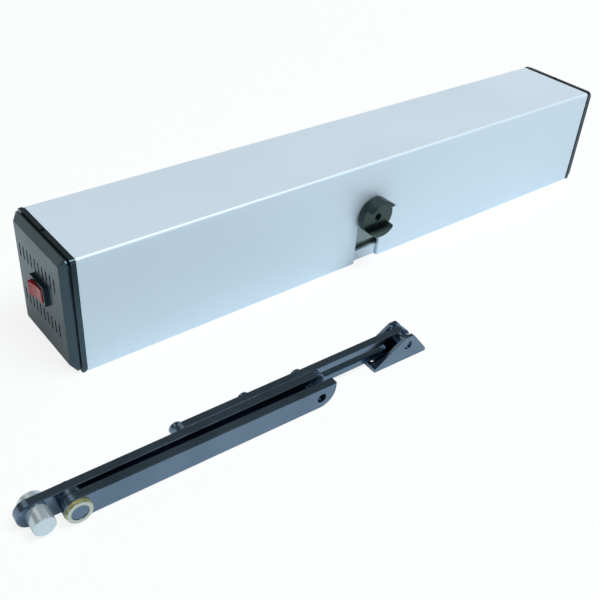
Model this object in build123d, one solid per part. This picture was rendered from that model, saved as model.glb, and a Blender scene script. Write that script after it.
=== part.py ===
"""Swing-door closer with an electric drive, its folding arm laid beside it.

Millimetres. The origin is the middle of the back plate's wall face, +Z points away from the wall
and +X runs along the cover, away from the rocker switch. The spindle points along -Y.
"""

import math
import os

from build123d import *

os.makedirs("parts", exist_ok=True)

# Cover and back plate, two extrusions that slide into each other
cover_length = 500.0
cover_depth = 74.0
cover_height = 86.0
cover_wall = 2.0
cover_corner_radius = 2.0
hook_reach = 1.4
hook_height = 0.8
sliding_gap = 0.3
plate_thickness = 3.0
plate_side_height = 10.0
plate_side_wall = 2.2
track_height = 4.5
track_rib = 1.6
track_width = 8.0
track_lip = 1.4
track_lip_height = 1.1
track_offset = 18.0
port_offset = 28.0
port_wall = 1.4
wall_hole_radius = 2.75
wall_hole_spacing_x = 464.0
wall_hole_spacing_y = 16.0
cable_hole_radius = 8.0
cable_bore_radius = 5.0
cable_hole_x = -146.0
grommet_collar = 2.5

# End frames and moulded end caps
frame_proud = 0.45
frame_thickness = 2.7
frame_band = 9.0
frame_corner_radius = 2.4
frame_foot_radius = 0.6
seam_width = 1.1
land_inset = 0.75
land_gap = 0.1
window_rise = 3.0
window_radius = 2.0
spigot_wall = 2.0
spigot_depth = 5.0
notch_y = 3.0
notch_width = 3.4
notch_depth = 1.4
neck_depth = 1.4
neck_inset = 1.9
cap_rim_inset = 0.5
cap_corner_radius = 4.6
cap_side = 0.8
cap_face_inset = 5.4
cap_face_radius = 1.0
cap_edge_radius = 0.6
cap_depth = 4.6
cap_wall = 1.8
vent_count = 10
vent_pitch = 5.5
vent_width = 1.6
vent_height = 10.0
vent_offset = 2.0
upper_vent_height = 62.0
lower_vent_height = 27.5
end_screw_radius = 1.6
end_screw_head_radius = 2.8
end_screw_head_height = 1.6
end_screw_length = 14.0
end_screw_play = 0.2

# Rocker switch in the left cap
switch_height = 46.5
bezel_length = 21.0
bezel_height = 15.0
bezel_corner_radius = 1.2
bezel_proud = 2.6
switch_body_length = 19.4
switch_body_height = 12.4
switch_body_depth = 17.0
switch_wall = 1.0
rocker_tilt = 10.0
rocker_end_play = 1.4
rocker_side_play = 0.35
rocker_height = 5.0
rocker_dish = 1.0
rocker_skirt = 1.0
rocker_root = 4.0
rocker_root_inset = 2.5
rocker_edge_radius = 0.8
trunnion_radius = 1.05
trunnion_seat_wall = 0.4
blade_width = 4.8
blade_thickness = 0.8
blade_length = 8.0
blade_offset_y = 5.0
blade_offset_z = 3.0

# Spindle and arm coupling
spindle_x = -8.7
spindle_height = 43.2
spindle_radius = 7.0
spindle_square = 10.0
square_play = 0.05
arm_thread_radius = 2.5
arm_thread_depth = 14.0
coupling_radius = 14.8
coupling_standoff = 1.7
coupling_floor = 6.5
coupling_lip = 6.2
coupling_socket_depth = 4.5
coupling_edge = 0.5
arm_screw_play = 0.6
arm_play = 0.2
lead_in = 1.5
cover_slot_width = 24.8

# Three spur-gear stages between the motor and the spindle
tooth_pressure_angle = 25.0
tooth_backlash = 0.12
tooth_addendum = 0.8
tooth_dedendum = 1.05
pinion_teeth = 12
output_teeth = 36
second_teeth = 48
first_teeth = 60
output_module = 1.5
second_module = 1.0
first_module = 0.8
output_width = 12.0
second_width = 8.0
first_width = 6.0
layer_gap = 1.0
gear_shaft_radius = 4.0
motor_shaft_radius = 3.0
bush_wall = 2.0
bearing_wall = 6.0
seat_play = 0.02
running_play = 0.04
key_width = 4.0
key_end_inset = 1.0
circlip_width = 1.0
circlip_depth = 0.5
circlip_rise = 2.0
circlip_opening = 3.0
gear_hub_wall = 3.0
gear_hole_share = 0.62
gear_hole_count = 6
shaft_end_gap = 0.3

# Gearbox castings
pad_rise = 1.5
pad_radius = 21.0
pad_bottom = 16.0
pocket_depth = 2.6
pocket_ledge = 1.0
case_plate = 4.0
case_wall = 3.0
case_room = 2.0
case_front_gap = 0.5
case_corner_radius = 9.0
lug_length = 12.0
lug_width = 14.0
lug_thickness = 4.5
lug_hole_share = 0.6
case_screw_radius = 2.0
case_screw_depth = 12.0
case_pillar_wall = 2.6
screw_head_rise = 1.6
screw_head_height = 2.4
track_nut_play = 0.3

# Flat motor behind the gearbox
motor_radius = 30.0
motor_wall = 2.0
motor_flange = 3.0
motor_depth = 23.5
motor_margin = 4.0
stator_teeth = 9
stator_wall = 4.0
tooth_neck = 4.0
tooth_shoe = 2.0
tooth_opening = 2.4
coil_width = 2.2
coil_overhang = 1.5
coil_gap = 0.3
air_gap = 0.6
rotor_radius = 14.0
rotor_hole_reach = 8.7
rotor_hole_radius = 1.8
core_length = 11.0
motor_bearing_wall = 4.0
motor_bearing_width = 3.0

# Electrical parts on the tracks
board_thickness = 1.6
board_corner_radius = 2.0
board_hole_inset = 5.0
standoff_height = 8.0
standoff_radius = 5.4
board_screw_radius = 1.5
board_screw_depth = 6.0
board_screw_head_rise = 1.3
board_screw_head_height = 1.8
board_gap = 7.9
control_board_length = 82.0
control_board_width = 56.0
mains_board_x = -190.0
mains_board_length = 56.0
mains_board_width = 56.0
terminal_pitch = 4.5
terminal_depth = 8.0
terminal_height = 10.0
terminal_edge_inset = 6.0
terminal_entry = 3.2
control_ways = 6
mains_ways = 3
mains_terminal_offset = 7.5
capacitor_radius = 8.0
capacitor_height = 26.0
capacitor_spacing = 24.0
capacitor_offset_x = -9.0
heat_sink_base = 3.0
heat_sink_width = 32.0
heat_sink_height = 18.0
heat_sink_length = 28.0
heat_sink_offset_x = -15.0
heat_sink_fins = 7
fin_thickness = 1.6
relay_length = 24.0
relay_width = 14.0
relay_height = 15.0
relay_spacing = 24.0
relay_offset_x = 14.0
transformer_x = -98.0
transformer_radius = 31.0
transformer_bore = 9.0
transformer_height = 34.0
transformer_edge_radius = 6.0
transformer_pad = 1.5
transformer_bolt_radius = 3.0
dish_thickness = 1.2
dish_depth = 2.0
dish_edge_inset = 8.0

# Folding arm: flat bars on edge, elbow at the left, foot at the right
arm_yaw = -2.4
elbow_x = -308.3
arm_plane_y = -133.9
elbow_height = 8.35
bar_width = 16.0
bar_thickness = 6.0
bar_chamfer = 0.5
elbow_gap = 3.2
main_reach = 161.6
main_tip = 11.4
main_tip_radius = 12.5
main_corner_radius = 0.5
arm_bolt_hole_radius = 3.3
elbow_pin_radius = 4.0
elbow_head_radius = 5.1
elbow_head_sunk = 0.4
elbow_rivet_rise = 1.5
elbow_rivet_height = 2.0
bush_flange_radius = 7.6
bush_flange = 1.8
elbow_washer_radius = 7.3
elbow_washer = 0.9
link_tail = 22.0
link_reach = 163.5
stop_reach = 18.8
stop_radius = 6.4
stop_length = 10.6
stop_shank_radius = 3.0
stop_nut_radius = 7.6
stop_nut_height = 3.5
clamp_reaches = (72.0, 118.8, 158.5)
clamp_radius = 2.5
clamp_head_radius = 4.5
clamp_head_height = 4.5
clamp_socket_radius = 2.3
clamp_socket_depth = 2.5
slot_play = 0.3
slide_play = 0.1
rail_start = 67.0
rail_width = 15.4
rail_thickness = 5.7
slot_eye_gap = 16.5
pivot_reach = 240.5
shoe_pin_height = 11.8
shoe_pin_radius = 3.3
shoe_wall = 2.5
shoe_room_front = 4.8
shoe_room_back = 3.6
shoe_front_length = 17.5
shoe_back_length = 28.0
shoe_ear_height = 18.8
shoe_apex_back = 2.0
shoe_apex_front = 4.3
shoe_apex_radius = 2.2
shoe_end_radius = 1.6
shoe_hole_radius = 2.1
shoe_hole_inset = 5.0
shoe_spacer_wall = 2.6
pin_recess = 1.2

# Worked out from the sizes above
inner_half = cover_depth / 2 - cover_wall
plate_half = inner_half - sliding_gap
seat_height = plate_thickness + track_height
cover_front = -cover_depth / 2
cover_end = cover_length / 2
plate_side_lift = hook_height + sliding_gap
frame_near = cover_end + seam_width
frame_far = frame_near + frame_thickness
cap_shoulder = frame_far + neck_depth
cap_face = cap_shoulder + cap_depth
switch_face = -cap_face
port_height = plate_thickness + port_wall
coupling_back = cover_front - coupling_standoff
channel_floor = coupling_back - coupling_floor
coupling_front = channel_floor - coupling_lip
case_front = -plate_half + plate_side_wall + case_front_gap
output_back = case_front + case_plate + layer_gap + output_width
second_back = output_back + layer_gap + second_width
first_back = second_back + layer_gap + first_width
case_back = first_back + layer_gap + case_room
back_plate_back = case_back + case_plate
output_centres = output_module * (output_teeth + pinion_teeth) / 2
second_centres = second_module * (second_teeth + pinion_teeth) / 2
first_centres = first_module * (first_teeth + pinion_teeth) / 2
second_shaft_x = spindle_x + output_centres
first_shaft_x = second_shaft_x + second_centres
motor_x = first_shaft_x + first_centres
case_left = spindle_x - output_module * (output_teeth / 2 + 1) - case_room - case_wall
case_right = motor_x + motor_radius + motor_margin
case_top = spindle_height + output_module * (output_teeth / 2 + 1) + case_room + case_wall
motor_back = back_plate_back + motor_depth
board_bottom = seat_height + standoff_height
board_top = board_bottom + board_thickness
control_board_x = case_right + lug_length + board_gap + control_board_length / 2
transformer_bottom = seat_height + transformer_pad
transformer_top = transformer_bottom + transformer_height
rail_front = bar_thickness + slide_play
rail_back = rail_front + rail_thickness
rail_slot_end = pivot_reach - slot_eye_gap
main_back = -elbow_gap
main_front = main_back - bar_thickness
flange_front = main_front - bush_flange
washer_front = flange_front - elbow_washer
arm_tilt = math.degrees(math.asin((shoe_pin_height - elbow_height) / pivot_reach))
arm_frame = Location((elbow_x, arm_plane_y, elbow_height), (0, 0, arm_yaw))
link_frame = arm_frame * Location((0, 0, 0), (0, -arm_tilt, 0))
shoe_frame = link_frame * Location((pivot_reach, 0, 0), (0, arm_tilt, 0))


def along_x(profile, start, end):
    """Extrudes a (Y, Z) profile from x = start to x = end."""
    plane = Plane(origin=(start, 0, 0), x_dir=(0, 1, 0), z_dir=(1, 0, 0))
    return extrude(plane * profile, amount=end - start)


def along_y(profile, start, end):
    """Extrudes an (X, Z) profile from y = start to y = end."""
    plane = Plane(origin=(0, end, 0), x_dir=(1, 0, 0), z_dir=(0, -1, 0))
    return extrude(plane * profile, amount=end - start)


def along_z(profile, start, end):
    """Extrudes an (X, Y) profile from z = start to z = end."""
    return extrude(Pos(0, 0, start) * profile, amount=end - start)


def disc(radius, centre=(0, 0)):
    """A round profile."""
    return Pos(*centre) * Circle(radius)


def ring(outer, inner, centre=(0, 0)):
    """A round profile with a round hole."""
    return disc(outer, centre) - disc(inner, centre)


def span(low, high, bottom, top):
    """A rectangular profile between two corners."""
    return Pos((low + high) / 2, (bottom + top) / 2) * Rectangle(high - low, top - bottom)


def save(shape, node, colour):
    """Writes one node as a STEP file, as a group where it has several solids."""
    solids = shape.solids()
    body = solids[0] if len(solids) == 1 else Compound(children=list(solids))
    body.label = node
    body.color = Color(*colour)
    export_step(body, f"parts/{node}.step")


def cover():
    """Three-sided extrusion with hooks along both bottom edges and a slot for the spindle."""
    half = cover_depth / 2
    outside = span(-half, half, 0, cover_height)
    outside = fillet(outside.vertices().group_by(Axis.Y)[-1], cover_corner_radius)
    inside = span(-inner_half, inner_half, -1, cover_height - cover_wall)
    inside = fillet(inside.vertices().group_by(Axis.Y)[-1], cover_corner_radius / 3)
    profile = outside - inside
    for side in (-1, 1):
        edge = side * inner_half
        hook = Pos(edge - side * hook_reach / 2, hook_height / 2)
        profile += hook * Rectangle(hook_reach, hook_height)
    shell = along_x(profile, -cover_end, cover_end)
    half_slot = cover_slot_width / 2
    slot = span(spindle_x - half_slot, spindle_x + half_slot, -1, spindle_height)
    slot += disc(half_slot, (spindle_x, spindle_height))
    return shell - along_y(slot, cover_front - 1, -inner_half + hook_reach + sliding_gap)


def track_profile(centre):
    """C-shaped track for square nuts, open upwards."""
    half = track_width / 2
    profile = Sketch()
    for side in (-1, 1):
        rib = centre + side * (half + track_rib / 2)
        lip = centre + side * (half - track_lip / 2)
        profile += Pos(rib, plate_thickness + track_height / 2) * Rectangle(track_rib, track_height)
        profile += Pos(lip, seat_height - track_lip_height / 2) * Rectangle(track_lip, track_lip_height)
    return profile


def base_rail():
    """Back plate extrusion: low side walls, two nut tracks and two screw ports."""
    plate_edge = inner_half - hook_reach - sliding_gap
    profile = span(-plate_edge, plate_edge, 0, plate_thickness)
    wall_height = plate_side_height - plate_side_lift
    for side in (-1, 1):
        wall = Pos(side * (plate_half - plate_side_wall / 2), plate_side_lift + wall_height / 2)
        profile += wall * Rectangle(plate_side_wall, wall_height)
        profile += track_profile(side * track_offset)
        profile += disc(end_screw_radius + port_wall, (side * port_offset, port_height))
    for side in (-1, 1):
        profile -= disc(end_screw_radius + seat_play, (side * port_offset, port_height))
    rail = along_x(profile, -cover_end, cover_end)
    holes = disc(cable_hole_radius, (cable_hole_x, 0))
    holes += GridLocations(wall_hole_spacing_x, wall_hole_spacing_y, 2, 2) * Circle(wall_hole_radius)
    return rail - along_z(holes, -1, plate_thickness + 1)


def cable_grommet():
    """Rubber ring that lines the cable entry in the back plate."""
    seat = ring(cable_hole_radius - seat_play, cable_bore_radius)
    collar = ring(cable_hole_radius + grommet_collar, cable_bore_radius)
    body = along_z(seat, sliding_gap, plate_thickness)
    body += along_z(collar, plate_thickness, plate_thickness + grommet_collar)
    return Pos(cable_hole_x, 0, 0) * body


def end_outline(inset, corner_radius):
    """Outline of an end piece; its bottom lies on the wall face where it isn't inset."""
    half = cover_depth / 2 + frame_proud - inset
    top = cover_height + frame_proud - inset
    outline = span(-half, half, inset, top)
    return fillet(outline.vertices().group_by(Axis.Y)[-1], corner_radius)


def end_frame(side):
    """Frame between cover and cap: a rib, a land against the cover's end and a spigot inside it."""
    half = cover_depth / 2 + frame_proud
    top = cover_height + frame_proud
    window = span(-half + frame_band, half - frame_band, frame_band + window_rise, top - frame_band)
    window = fillet(window.vertices(), window_radius)
    rib = end_outline(0, frame_corner_radius)
    rib = fillet(rib.vertices().group_by(Axis.Y)[0], frame_foot_radius)
    plate = along_x(rib - window, frame_near, frame_far)
    land = end_outline(land_inset, frame_corner_radius) - window
    plate += along_x(land, cover_end + land_gap, frame_near)
    reach = inner_half - sliding_gap
    spigot_top = cover_height - cover_wall - sliding_gap
    spigot = span(-reach, reach, plate_side_height + sliding_gap, spigot_top)
    spigot -= span(-reach + spigot_wall, reach - spigot_wall, 0, spigot_top - spigot_wall)
    plate += along_x(spigot, cover_end - spigot_depth, frame_near)
    notch = span(notch_y - notch_width / 2, notch_y + notch_width / 2, top - notch_depth, top + 1)
    plate -= along_x(notch, frame_near, frame_far)
    for port in (-port_offset, port_offset):
        hole = disc(end_screw_radius + end_screw_play, (port, port_height))
        plate -= along_x(hole, cover_end, frame_far + 1)
        seat = disc(end_screw_head_radius + end_screw_play, (port, port_height))
        plate -= along_x(seat, frame_far - end_screw_head_height, frame_far + 1)
    return plate if side > 0 else mirror(plate, Plane.YZ)


def vent_slots(near, far):
    """Two rows of upright slots."""
    slots = Sketch()
    for row in (lower_vent_height, upper_vent_height):
        for number in range(vent_count):
            y = vent_offset + vent_pitch * (number - (vent_count - 1) / 2)
            slots += Pos(y, row) * Rectangle(vent_width, vent_height)
    return along_x(slots, near, far)


def cap_outline(inset, corner_radius):
    """Outline of a cap, with all four corners round."""
    outline = end_outline(inset, corner_radius)
    return fillet(outline.vertices().group_by(Axis.Y)[0], corner_radius)


def end_cap(side):
    """Moulded cap with bevelled sides, a neck that makes a groove, and vents."""
    rim = cap_outline(cap_rim_inset, cap_corner_radius)
    face = cap_outline(cap_face_inset, cap_face_radius)
    bevel_start = cap_shoulder + cap_side
    near = Plane(origin=(bevel_start, 0, 0), x_dir=(0, 1, 0), z_dir=(1, 0, 0))
    far = Plane(origin=(cap_face, 0, 0), x_dir=(0, 1, 0), z_dir=(1, 0, 0))
    shell = loft([near * rim, far * face], ruled=True)
    shell = fillet(shell.faces().sort_by(Axis.X)[-1].edges(), cap_edge_radius)
    shell += along_x(rim, cap_shoulder, bevel_start)
    shell += along_x(cap_outline(neck_inset, cap_corner_radius), frame_far, cap_shoulder)
    hollow = cap_outline(cap_face_inset + cap_wall, cap_wall)
    shell -= along_x(hollow, frame_far - 1, cap_face - cap_wall)
    shell -= vent_slots(cap_face - cap_wall - 1, cap_face + 1)
    if side < 0:
        half_length = switch_body_length / 2 + sliding_gap
        half_height = switch_body_height / 2 + sliding_gap
        hole = span(-half_length, half_length, switch_height - half_height, switch_height + half_height)
        shell -= along_x(hole, cap_face - cap_wall - 1, cap_face + 1)
        shell = mirror(shell, Plane.YZ)
    return shell


def end_screws():
    """Screws through both frames into the screw ports of the back plate."""
    seat = frame_far - end_screw_head_height
    one = along_x(disc(end_screw_head_radius), seat, seat + end_screw_head_height)
    one += along_x(disc(end_screw_radius), seat - end_screw_length, seat)
    group = []
    for port in (-port_offset, port_offset):
        screw = Pos(0, port, port_height) * one
        group += [screw, mirror(screw, Plane.YZ)]
    return Compound(children=group)


def switch_bezel():
    """Rocker switch housing: a framed rim outside the cap and an open box behind it."""
    rim = RectangleRounded(bezel_length, bezel_height, bezel_corner_radius)
    box = Rectangle(switch_body_length, switch_body_height)
    room = Rectangle(switch_body_length - 2 * switch_wall, switch_body_height - 2 * switch_wall)
    body = along_x(rim, switch_face - bezel_proud, switch_face)
    body += along_x(box, switch_face, switch_face + switch_body_depth)
    body -= along_x(room, switch_face - bezel_proud - 1, switch_face + switch_body_depth - switch_wall)
    seat_reach = switch_body_height / 2 - trunnion_seat_wall
    body -= along_z(disc(trunnion_radius + running_play, (switch_face, 0)), -seat_reach, seat_reach)
    return Pos(0, 0, switch_height) * body


def rocker():
    """Rocker with a dished top, pressed in at its near end; its pins make an upright axis."""
    half = switch_body_length / 2 - switch_wall - rocker_end_play
    height = switch_body_height - 2 * switch_wall - 2 * rocker_side_play
    root = half - rocker_root_inset
    outline = Polyline(
        (-half, rocker_height),
        (-half, -rocker_skirt),
        (-root, -rocker_root),
        (root, -rocker_root),
        (half, -rocker_skirt),
        (half, rocker_height),
    )
    dish_middle = (0, rocker_height - rocker_dish)
    outline += ThreePointArc((half, rocker_height), dish_middle, (-half, rocker_height))
    profile = make_face(outline)
    profile = fillet(profile.vertices().group_by(Axis.Y)[-1], rocker_edge_radius)
    plane = Plane(origin=(switch_face, 0, switch_height - height / 2), x_dir=(0, 1, 0), z_dir=(0, 0, 1))
    body = extrude(plane * Rot(0, 0, rocker_tilt) * profile, amount=height)
    pin_reach = switch_body_height / 2 - trunnion_seat_wall - seat_play
    pins = along_z(disc(trunnion_radius, (switch_face, 0)), -pin_reach, pin_reach)
    return body + Pos(0, 0, switch_height) * pins


def switch_terminals():
    """Four flat blades behind the switch."""
    back = switch_face + switch_body_depth
    blades = []
    for y in (-blade_offset_y, blade_offset_y):
        for z in (switch_height - blade_offset_z, switch_height + blade_offset_z):
            blade = Pos(y, z) * Rectangle(blade_width, blade_thickness)
            blades.append(along_x(blade, back, back + blade_length))
    return Compound(children=blades)


def gear_profile(teeth, module, gap_angle=None):
    """Spur gear with involute flanks, each drawn as two chords; a gap or a tooth faces +X or -X."""
    pressure = math.radians(tooth_pressure_angle)
    pitch = module * teeth / 2
    base = pitch * math.cos(pressure)
    root = pitch - tooth_dedendum * module
    tip = pitch + tooth_addendum * module
    half_pitch = math.pi / (2 * teeth) - tooth_backlash / (2 * pitch)
    pitch_involute = math.tan(pressure) - pressure

    def half_angle(radius):
        angle = math.acos(min(1, base / radius))
        return half_pitch + pitch_involute - (math.tan(angle) - angle)

    turn = 0 if gap_angle is None else math.radians(gap_angle) + math.pi / teeth
    radii = (root, max(base, root + 0.3 * module), tip)
    points = []
    for tooth in range(teeth):
        middle = turn + 2 * math.pi * tooth / teeth
        for radius in radii:
            points.append((radius, middle - half_angle(radius)))
        for radius in reversed(radii):
            points.append((radius, middle + half_angle(radius)))
    outline = [(r * math.cos(a), r * math.sin(a)) for r, a in points]
    return make_face(Polyline(*outline, close=True))


def lightened(profile, hub, rim):
    """Cuts a ring of round holes between a gear's hub and its rim."""
    middle = (hub + rim) / 2
    return profile - PolarLocations(middle, gear_hole_count) * Circle((rim - hub) / 2 * gear_hole_share)


def output_gear():
    """Large gear on the spindle, keyed to it."""
    profile = gear_profile(output_teeth, output_module)
    rim = output_module * (output_teeth / 2 - 2)
    profile = lightened(profile, spindle_radius + gear_hub_wall, rim)
    profile -= disc(spindle_radius + seat_play)
    profile -= span(-key_width / 2, key_width / 2, spindle_radius - 1, spindle_radius + key_width / 2)
    return along_y(Pos(spindle_x, spindle_height) * profile, output_back - output_width, output_back)


def output_key():
    """Parallel key between the spindle and the output gear."""
    half = key_width / 2
    profile = span(-half, half, spindle_radius - half, spindle_radius + half - 2 * seat_play)
    place = Pos(spindle_x, spindle_height)
    start = output_back - output_width + key_end_inset
    return along_y(place * profile, start, output_back - key_end_inset)


def spindle():
    """Output spindle: square end with a thread for the arm bolt, keyway and circlip groove."""
    front = channel_floor + (coupling_floor - coupling_socket_depth) + square_play
    back = back_plate_back + 2.5 * circlip_width
    place = Pos(spindle_x, spindle_height)
    side = spindle_square - 2 * square_play
    body = along_y(place * disc(spindle_radius), coupling_back, back)
    body += along_y(place * Rectangle(side, side), front, coupling_back)
    body -= along_y(place * disc(arm_thread_radius), front - 1, front + arm_thread_depth)
    groove = ring(spindle_radius + 1, spindle_radius - circlip_depth)
    start = back_plate_back + circlip_width / 2
    body -= along_y(place * groove, start, start + circlip_width)
    half = key_width / 2
    keyway = span(-half, half, spindle_radius - half, spindle_radius + 1)
    key_start = output_back - output_width + key_end_inset
    return body - along_y(place * keyway, key_start, output_back - key_end_inset)


def spindle_circlip():
    """Open retaining ring in the groove behind the rear bearing."""
    profile = ring(spindle_radius + circlip_rise, spindle_radius - circlip_depth + seat_play)
    profile -= span(-circlip_opening / 2, circlip_opening / 2, 0, spindle_radius + circlip_rise + 1)
    start = back_plate_back + circlip_width / 2 + seat_play
    end = start + circlip_width - 2 * seat_play
    return along_y(Pos(spindle_x, spindle_height) * profile, start, end)


def coupling():
    """Driving disc with a straight channel between two lips for the arm's end."""
    place = Pos(spindle_x, spindle_height)
    half = bar_width / 2 + arm_play
    body = along_y(place * disc(coupling_radius), coupling_front, coupling_back)
    body = chamfer(body.edges().filter_by(GeomType.CIRCLE), coupling_edge)
    reach = coupling_radius + 1
    body -= along_y(place * span(-reach, reach, -half, half), coupling_front - 1, channel_floor)
    mouth = Polyline(
        (coupling_front - 1, -half - lead_in - 1),
        (coupling_front + lead_in, -half),
        (coupling_front + lead_in, half),
        (coupling_front - 1, half + lead_in + 1),
        close=True,
    )
    body -= Pos(spindle_x, 0, spindle_height) * along_x(make_face(mouth), -reach, reach)
    side = spindle_square
    body -= along_y(place * Rectangle(side, side), coupling_back - coupling_socket_depth, coupling_back + 1)
    return body - along_y(place * disc(arm_thread_radius + arm_screw_play), channel_floor - 1, coupling_back)


def pinion_shaft(shaft_x, radius, start, end, module, pinion_start, pinion_end):
    """Shaft with a pinion cut on it; a tooth gap faces the gear on its left."""
    place = Pos(shaft_x, spindle_height)
    body = along_y(place * disc(radius), start, end)
    teeth = place * gear_profile(pinion_teeth, module, gap_angle=180)
    body += along_y(teeth, pinion_start, pinion_end)
    return body


def wheel(shaft_x, teeth, module, back, width):
    """Gear on an inner shaft; a tooth faces the pinion on its right."""
    profile = gear_profile(teeth, module)
    profile = lightened(profile, gear_shaft_radius + gear_hub_wall, module * (teeth / 2 - 2))
    profile -= disc(gear_shaft_radius + seat_play)
    return along_y(Pos(shaft_x, spindle_height) * profile, back - width, back)


def case_outline(inset):
    """Rounded outline of the gearbox, flat on the tracks at the bottom."""
    width = case_right - case_left - 2 * inset
    height = case_top - seat_height - 2 * inset
    middle = Location(((case_left + case_right) / 2, (seat_height + case_top) / 2))
    return RectangleRounded(width, height, case_corner_radius - inset).moved(middle)


def bearing_seats():
    """Holes for both spindle bearings and the four bushes, in both plates."""
    seats = disc(spindle_radius + bearing_wall + seat_play, (spindle_x, spindle_height))
    for shaft_x in (second_shaft_x, first_shaft_x):
        seats += disc(gear_shaft_radius + bush_wall + seat_play, (shaft_x, spindle_height))
    return seats


def case_screw_places():
    """Corners of the gearbox where the screws go."""
    inset = case_corner_radius * 0.62
    lows = (case_left + inset, case_right - inset)
    return [(x, z) for x in lows for z in (seat_height + inset, case_top - inset)]


def lug_places():
    """Screw places of both gearbox lugs, on the front track."""
    reach = lug_length * lug_hole_share
    return [(case_left - reach, -track_offset), (case_right + reach, -track_offset)]


def gearbox_case():
    """Cast tub for the gears: raised front pad over a pocket, screw pillars, lugs on the tracks."""
    body = along_y(case_outline(0), case_front, case_back)
    pad_left = spindle_x - pad_radius
    pad_right = spindle_x + pad_radius
    pad = disc(pad_radius, (spindle_x, spindle_height))
    pad += span(pad_left, pad_right, pad_bottom, spindle_height)
    body += along_y(pad, case_front - pad_rise, case_front)
    pocket = span(pad_left, pad_right, seat_height + pocket_ledge, pad_bottom)
    body -= along_y(pocket, case_front - 1, case_front + pocket_depth)
    lugs = Sketch()
    for edge, side in ((case_left, -1), (case_right, 1)):
        foot_length = lug_length + case_corner_radius
        foot_middle = edge + side * (lug_length - case_corner_radius) / 2
        lugs += Pos(foot_middle, -track_offset) * Rectangle(foot_length, lug_width)
    for place in lug_places():
        lugs -= disc(case_screw_radius + sliding_gap, place)
    body += along_z(lugs, seat_height, seat_height + lug_thickness)
    cavity = case_outline(case_wall)
    pillars = Sketch()
    for place in case_screw_places():
        pillars += disc(case_screw_radius + case_pillar_wall, place)
    body -= along_y(cavity - pillars, case_front + case_plate, case_back + 1)
    body -= along_y(bearing_seats(), case_front - pad_rise - 1, case_front + case_plate + 1)
    for place in case_screw_places():
        body -= along_y(disc(case_screw_radius, place), case_back - case_screw_depth, case_back + 1)
    return body


def gearbox_back_plate():
    """Flat plate that closes the tub and carries the motor."""
    body = along_y(case_outline(0), case_back, back_plate_back)
    body -= along_y(bearing_seats(), case_back - 1, back_plate_back + 1)
    pinion_way = disc(first_module * (pinion_teeth / 2 + 1) + layer_gap, (motor_x, spindle_height))
    body -= along_y(pinion_way, case_back - 1, back_plate_back + 1)
    for place in case_screw_places():
        body -= along_y(disc(case_screw_radius + sliding_gap, place), case_back - 1, back_plate_back + 1)
    return body


def gearbox_screws():
    """Screws that hold the back plate on the tub."""
    group = []
    for place in case_screw_places():
        head = RegularPolygon(case_screw_radius + screw_head_rise, 6)
        screw = along_y(head, back_plate_back, back_plate_back + screw_head_height)
        shank = disc(case_screw_radius - seat_play)
        screw += along_y(shank, case_back - case_screw_depth + 2, back_plate_back)
        group.append(Pos(place[0], 0, place[1]) * screw)
    return Compound(children=group)


def lug_screws():
    """Screws through the gearbox lugs into square nuts in the front track."""
    top = seat_height + lug_thickness
    screw = along_z(RegularPolygon(case_screw_radius + screw_head_rise, 6), top, top + screw_head_height)
    screw += along_z(Circle(case_screw_radius - seat_play), plate_thickness + sliding_gap, top)
    return Compound(children=[Pos(*place, 0) * screw for place in lug_places()])


def track_nuts():
    """Square nuts in the front track, under the gearbox lugs."""
    side = track_width - 2 * track_nut_play
    top = seat_height - track_lip_height - track_nut_play
    nut = along_z(Rectangle(side, side) - Circle(case_screw_radius), plate_thickness, top)
    return Compound(children=[Pos(*place, 0) * nut for place in lug_places()])


def spindle_bearings():
    """Ball bearings, as plain rings, in both plates."""
    profile = ring(spindle_radius + bearing_wall, spindle_radius + running_play, (spindle_x, spindle_height))
    front = along_y(profile, case_front, case_front + case_plate)
    back = along_y(profile, case_back, back_plate_back)
    return Compound(children=[front, back])


def gear_bushes():
    """Four bronze bushes for both inner shafts."""
    group = []
    for shaft_x in (second_shaft_x, first_shaft_x):
        profile = ring(
            gear_shaft_radius + bush_wall, gear_shaft_radius + running_play, (shaft_x, spindle_height)
        )
        group.append(along_y(profile, case_front, case_front + case_plate))
        group.append(along_y(profile, case_back, back_plate_back))
    return Compound(children=group)


def motor_plate():
    """Front bell of the motor with a bearing seat."""
    profile = ring(motor_radius, motor_shaft_radius + motor_bearing_wall + seat_play)
    return along_y(Pos(motor_x, spindle_height) * profile, back_plate_back, back_plate_back + motor_flange)


def motor_can():
    """Drawn motor can, closed at the back, with a bearing seat."""
    place = Pos(motor_x, spindle_height)
    front = back_plate_back + motor_flange
    body = along_y(place * disc(motor_radius), front, motor_back)
    body = fillet(body.faces().sort_by(Axis.Y)[-1].edges(), motor_wall)
    body -= along_y(place * disc(motor_radius - motor_wall), front - 1, motor_back - motor_wall)
    bearing_radius = motor_shaft_radius + motor_bearing_wall
    hub = ring(bearing_radius + 2, bearing_radius + seat_play)
    hub_start = motor_back - motor_wall - motor_bearing_width
    body += along_y(place * hub, hub_start, motor_back - motor_wall)
    return body


def motor_bearings():
    """Two small bearings for the motor shaft."""
    profile = ring(
        motor_shaft_radius + motor_bearing_wall, motor_shaft_radius + running_play, (motor_x, spindle_height)
    )
    front = along_y(profile, back_plate_back, back_plate_back + motor_bearing_width)
    back = along_y(profile, motor_back - motor_wall - motor_bearing_width, motor_back - motor_wall)
    return Compound(children=[front, back])


def core_span():
    """Start and end of the motor's iron core along Y."""
    middle = (back_plate_back + motor_flange + motor_back - motor_wall - motor_bearing_width) / 2
    return middle - core_length / 2, middle + core_length / 2


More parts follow.
